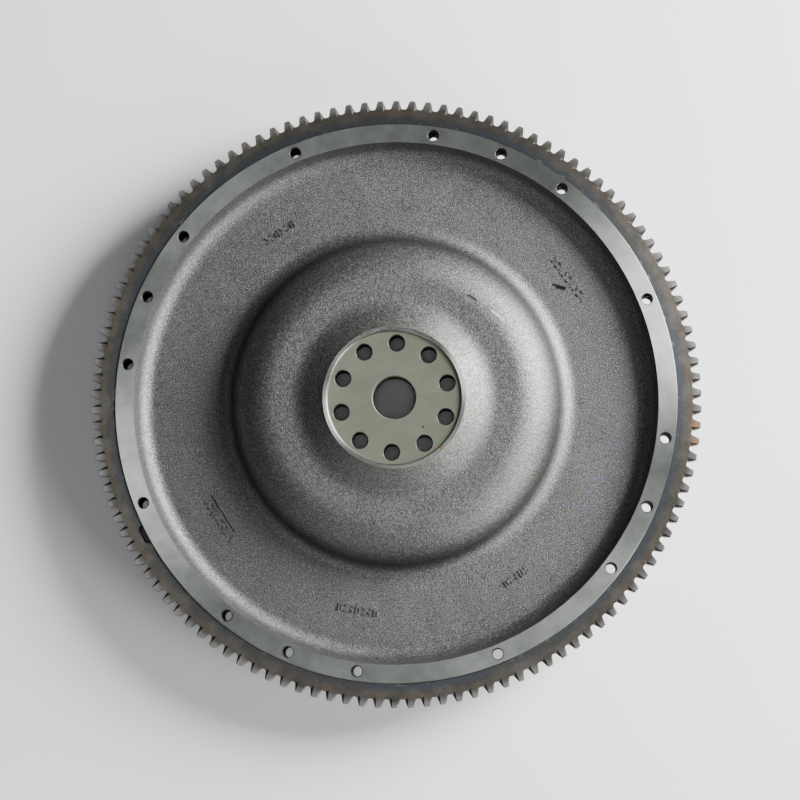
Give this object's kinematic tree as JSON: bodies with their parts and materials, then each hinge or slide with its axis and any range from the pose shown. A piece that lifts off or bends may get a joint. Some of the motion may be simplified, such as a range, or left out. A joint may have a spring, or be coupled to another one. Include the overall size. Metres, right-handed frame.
{
  "type": "engine flywheel",
  "caption": "Heavy cast-iron engine flywheel with a shrunk-on steel starter ring gear, raised bolt-up hub and through-drilled clutch rim.",
  "frame": {"origin": "on the spin axis, in the plane of the clutch friction face that the wheel lies on", "axes": "+Z along the spin axis, towards the engine side; +X and +Y across the wheel"},
  "size_m": [0.5058, 0.5058, 0.08],
  "materials": {
    "machined_cast_iron": "grainy as-cast web with turned grey-green machined rim and hub faces",
    "ring_gear_steel": "dull brown-grey machined steel with heat tint and light rust in the tooth roots"
  },
  "bodies": {
    "root": {"flywheel_casting": "machined_cast_iron", "starter_ring_gear": "ring_gear_steel"}
  },
  "joints": []
}
